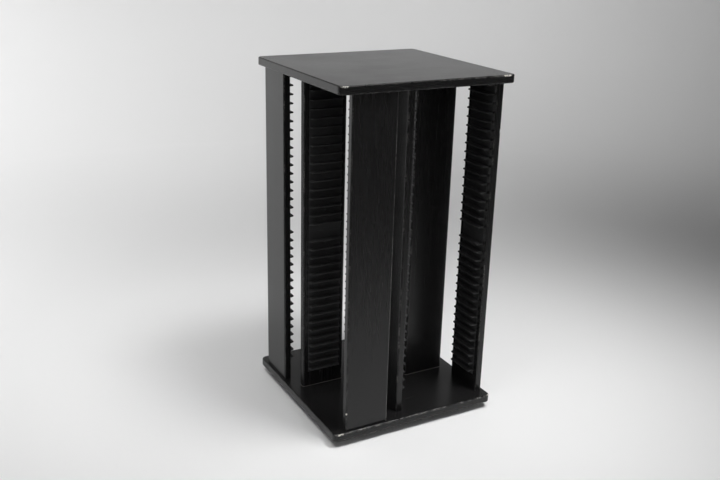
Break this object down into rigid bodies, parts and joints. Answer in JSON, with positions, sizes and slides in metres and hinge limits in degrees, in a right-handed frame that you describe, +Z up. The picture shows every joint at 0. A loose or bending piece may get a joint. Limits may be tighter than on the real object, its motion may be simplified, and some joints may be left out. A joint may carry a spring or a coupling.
{
  "type": "revolving cd cabinet",
  "caption": "Square revolving cabinet for compact disc cases, with ribbed rails on upright panels in a pinwheel between two boards, on a ball-bearing turntable.",
  "frame": {"origin": "on the table, on the axis that the cabinet turns about", "axes": "+Z up along that axis; -Y is the front, the darker side in the picture, and -X the left, the lighter side"},
  "size_m": [0.3, 0.3, 0.572],
  "materials": {
    "foil_board": "black wood-grain foil on particle board, semi-gloss",
    "rail_plastic": "black injection-moulded plastic",
    "disc_plastic": "dark grey moulded plastic",
    "cage_plastic": "grey nylon",
    "bright_steel": "bright steel",
    "zinc_steel": "zinc-plated steel",
    "black_steel": "black-oxidised steel",
    "beech": "plain beech",
    "foot_rubber": "black rubber"
  },
  "bodies": {
    "foot": {"turntable_lower_disc": "disc_plastic", "centre_rivet": "bright_steel", "rivet_washer": "bright_steel", "rubber_feet": "foot_rubber"},
    "cage": {"ball_cage": "cage_plastic", "bearing_balls": "bright_steel"},
    "tower": {"top_board": "foil_board", "base_board": "foil_board", "outer_panel_left": "foil_board", "outer_panel_front": "foil_board", "outer_panel_right": "foil_board", "outer_panel_back": "foil_board", "inner_panel_left": "foil_board", "inner_panel_front": "foil_board", "inner_panel_right": "foil_board", "inner_panel_back": "foil_board", "rail_left_outer_upper": "rail_plastic", "rail_left_outer_lower": "rail_plastic", "rail_left_inner_upper": "rail_plastic", "rail_left_inner_lower": "rail_plastic", "rail_front_outer_upper": "rail_plastic", "rail_front_outer_lower": "rail_plastic", "rail_front_inner_upper": "rail_plastic", "rail_front_inner_lower": "rail_plastic", "rail_right_outer_upper": "rail_plastic", "rail_right_outer_lower": "rail_plastic", "rail_right_inner_upper": "rail_plastic", "rail_right_inner_lower": "rail_plastic", "rail_back_outer_upper": "rail_plastic", "rail_back_outer_lower": "rail_plastic", "rail_back_inner_upper": "rail_plastic", "rail_back_inner_lower": "rail_plastic", "top_dowels": "beech", "panel_screws": "zinc_steel", "rail_screws": "black_steel", "turntable_upper_disc": "disc_plastic", "turntable_screws": "zinc_steel"}
  },
  "joints": [
    {"name": "tower_spin", "type": "hinge", "parent": "foot", "child": "tower", "pos_m": [0, 0, 0.011], "axis": [0, 0, 1], "continuous": true},
    {"name": "cage_spin", "type": "hinge", "parent": "foot", "child": "cage", "pos_m": [0, 0, 0.00625], "axis": [0, 0, 1], "continuous": true}
  ],
  "couplings": [
    {"joint": "cage_spin", "follows": "tower_spin", "ratio": 0.5}
  ]
}
